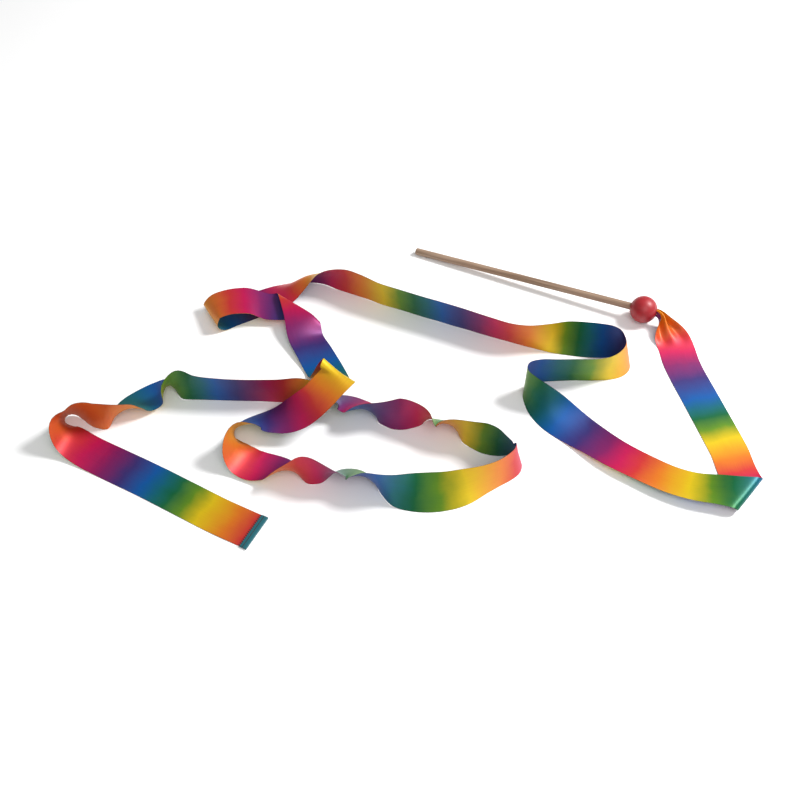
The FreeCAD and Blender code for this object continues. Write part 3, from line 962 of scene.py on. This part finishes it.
def make_hem():
    """The outline pushed across the ribbon, with a slight waver, closed at both ends."""
    body = bmesh.new()
    rings = []
    for k in range(HEM_SPANS + 1):
        share = k / HEM_SPANS - 0.5
        at = share * HEM_LONG
        pinch = 1 - 0.25 * (abs(share) * 2) ** 8
        waver = 0.06 * math.sin(k * 1.7) + 0.04 * math.sin(k * 0.6)
        ring = []
        for q in range(HEM_SIDES):
            deep, tall = hem_outline(2 * math.pi * q / HEM_SIDES)
            tall = HEM_TALL / 2 + (tall - HEM_TALL / 2) * pinch
            spot = foot_of_hem + heading * (deep + waver) + left * at + up * tall
            ring.append(body.verts.new(spot * MM))
        rings.append(ring)
    for one, two in zip(rings, rings[1:]):
        for q in range(HEM_SIDES):
            r = (q + 1) % HEM_SIDES
            body.faces.new((one[q], one[r], two[r], two[q]))
    body.faces.new(rings[0][::-1])
    body.faces.new(rings[-1])
    bmesh.ops.recalc_face_normals(body, faces=body.faces)
    mesh = bpy.data.meshes.new("hem")
    body.to_mesh(mesh)
    body.free()
    for polygon in mesh.polygons:
        polygon.use_smooth = len(polygon.vertices) == 4
    obj = bpy.data.objects.new("hem", mesh)
    scene.collection.objects.link(obj)
    return obj


hem = make_hem()
hem.data.materials.append(plain_cloth("hem_satin", shade(0, 96, 108), 0.4))
print("hem", len(hem.data.vertices), "points")

# %% [markdown]
# Stitches repeat, so Geometry Nodes place them: a line of points, one short rounded
# thread on each, made real at the end.  A loop in Python could do the same, but here the
# count and the thread's size stay inputs that can be turned like dials.  The inner row
# crosses the edge of the fold, and the outer row runs along it.

# %% Stitches
STITCH_LONG = 2.4
THREAD_RADIUS = 0.42
HALF_ROW = 19.0
thread_finish = plain_cloth("sewing_thread", shade(16, 28, 34), 0.5)


def stitch_tree(name):
    tree = bpy.data.node_groups.new(name, "GeometryNodeTree")
    sockets = tree.interface
    sockets.new_socket("Row start", in_out="INPUT", socket_type="NodeSocketVector")
    sockets.new_socket("Row end", in_out="INPUT", socket_type="NodeSocketVector")
    sockets.new_socket("Stitch direction", in_out="INPUT", socket_type="NodeSocketVector")
    sockets.new_socket("Count", in_out="INPUT", socket_type="NodeSocketInt")
    sockets.new_socket("Stitch length", in_out="INPUT", socket_type="NodeSocketFloat")
    sockets.new_socket("Thread radius", in_out="INPUT", socket_type="NodeSocketFloat")
    sockets.new_socket("Geometry", in_out="OUTPUT", socket_type="NodeSocketGeometry")
    new = tree.nodes.new
    link = tree.links.new
    given = new("NodeGroupInput")
    line = new("GeometryNodeMeshLine")
    line.mode = "END_POINTS"
    link(given.outputs["Count"], line.inputs["Count"])
    link(given.outputs["Row start"], line.inputs["Start Location"])
    link(given.outputs["Row end"], line.inputs["Offset"])
    drop = new("GeometryNodeMeshUVSphere")
    drop.inputs["Segments"].default_value = 12
    drop.inputs["Rings"].default_value = 8
    link(given.outputs["Thread radius"], drop.inputs["Radius"])
    ratio = new("ShaderNodeMath")
    ratio.operation = "DIVIDE"
    link(given.outputs["Stitch length"], ratio.inputs[0])
    link(given.outputs["Thread radius"], ratio.inputs[1])
    half_ratio = new("ShaderNodeMath")
    half_ratio.operation = "MULTIPLY"
    half_ratio.inputs[1].default_value = 0.5
    link(ratio.outputs[0], half_ratio.inputs[0])
    longer = new("ShaderNodeCombineXYZ")
    longer.inputs[0].default_value = 1.0
    longer.inputs[1].default_value = 0.7
    link(half_ratio.outputs[0], longer.inputs[2])
    stretch = new("GeometryNodeTransform")
    link(drop.outputs["Mesh"], stretch.inputs["Geometry"])
    link(longer.outputs[0], stretch.inputs["Scale"])
    turn = new("FunctionNodeAlignEulerToVector")
    turn.axis = "Z"
    link(given.outputs["Stitch direction"], turn.inputs["Vector"])
    place = new("GeometryNodeInstanceOnPoints")
    link(line.outputs["Mesh"], place.inputs["Points"])
    link(stretch.outputs["Geometry"], place.inputs["Instance"])
    link(turn.outputs[0], place.inputs["Rotation"])
    real = new("GeometryNodeRealizeInstances")
    link(place.outputs["Instances"], real.inputs["Geometry"])
    paint = new("GeometryNodeSetMaterial")
    paint.inputs["Material"].default_value = thread_finish
    link(real.outputs["Geometry"], paint.inputs["Geometry"])
    out = new("NodeGroupOutput")
    link(paint.outputs["Geometry"], out.inputs["Geometry"])
    return tree


rows_of_stitches = stitch_tree("stitch row")


def stitch_row(name, deep, high, direction, count):
    """One row across the ribbon, deep mm past the hem's inner edge, high mm up."""
    base = foot_of_hem + heading * (deep - HEM_DEEP + HEM_PAST) + up * high
    holder = bpy.data.objects.new(name, bpy.data.meshes.new(name))
    scene.collection.objects.link(holder)
    modifier = holder.modifiers.new("stitches", "NODES")
    modifier.node_group = rows_of_stitches
    values = {
        "Row start": (base - left * HALF_ROW) * MM,
        "Row end": (base + left * HALF_ROW) * MM,
        "Stitch direction": direction,
        "Count": count,
        "Stitch length": STITCH_LONG * MM,
        "Thread radius": THREAD_RADIUS * MM,
    }
    for item in rows_of_stitches.interface.items_tree:
        if item.item_type == "SOCKET" and item.name in values:
            value = values[item.name]
            modifier[item.identifier] = value if np.isscalar(value) else [float(v) for v in value]
    holder.update_tag()
    ready = holder.evaluated_get(bpy.context.evaluated_depsgraph_get())
    mesh = bpy.data.meshes.new_from_object(ready)
    holder.modifiers.remove(modifier)
    holder.data = mesh
    holder.name = name
    for polygon in mesh.polygons:
        polygon.use_smooth = True
    print(name, len(mesh.polygons), "faces")
    return holder


inner_row = stitch_row("stitches_inner", -0.2, 1.9, heading, 17)
outer_row = stitch_row("stitches_outer", 3.6, 2.15, left, 19)

# %% [markdown]
# Each new piece is hung on the body it moves with, and the plain strips it replaces are
# hidden: the ribbon cloth on the ribbon, the hem and both stitch rows on the tail; the tail
# cloth is only baked in place.  The bend where the tail can be lifted is worked out from the
# fold line itself, because cloth behind that line would dip under the floor, and the gap
# to the tail's first row is printed.

# %% Bodies and hidden strips
record = frame["record"]
BEND_LONG = 18
bodies = record["behaviour"]["bodies"]
ribbon_nodes = [n for n in bodies["ribbon"] if n.startswith("ribbon_")]
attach(ribbon, "ribbon")
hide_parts(*ribbon_nodes)
lift = next(j for j in frame["joints"] if j["name"] == "tail_lift")
fold_from = np.array(lift["pos_m"])
fold_to = fold_from + heading * BEND_LONG * MM
first_row = cloth[split] * MM
row_reach = ((first_row - fold_from) @ heading).max() / MM
print("the tail's first row ends", round(-row_reach, 1), "mm before the bend begins")
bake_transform(tail)
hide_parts("ribbon_tail", "ribbon_tail_end")
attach(hem, "tail")
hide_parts("hem_fold")
for row, node in ((inner_row, "hem_thread_inner"), (outer_row, "hem_thread_outer")):
    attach(row, "tail")
    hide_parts(node)
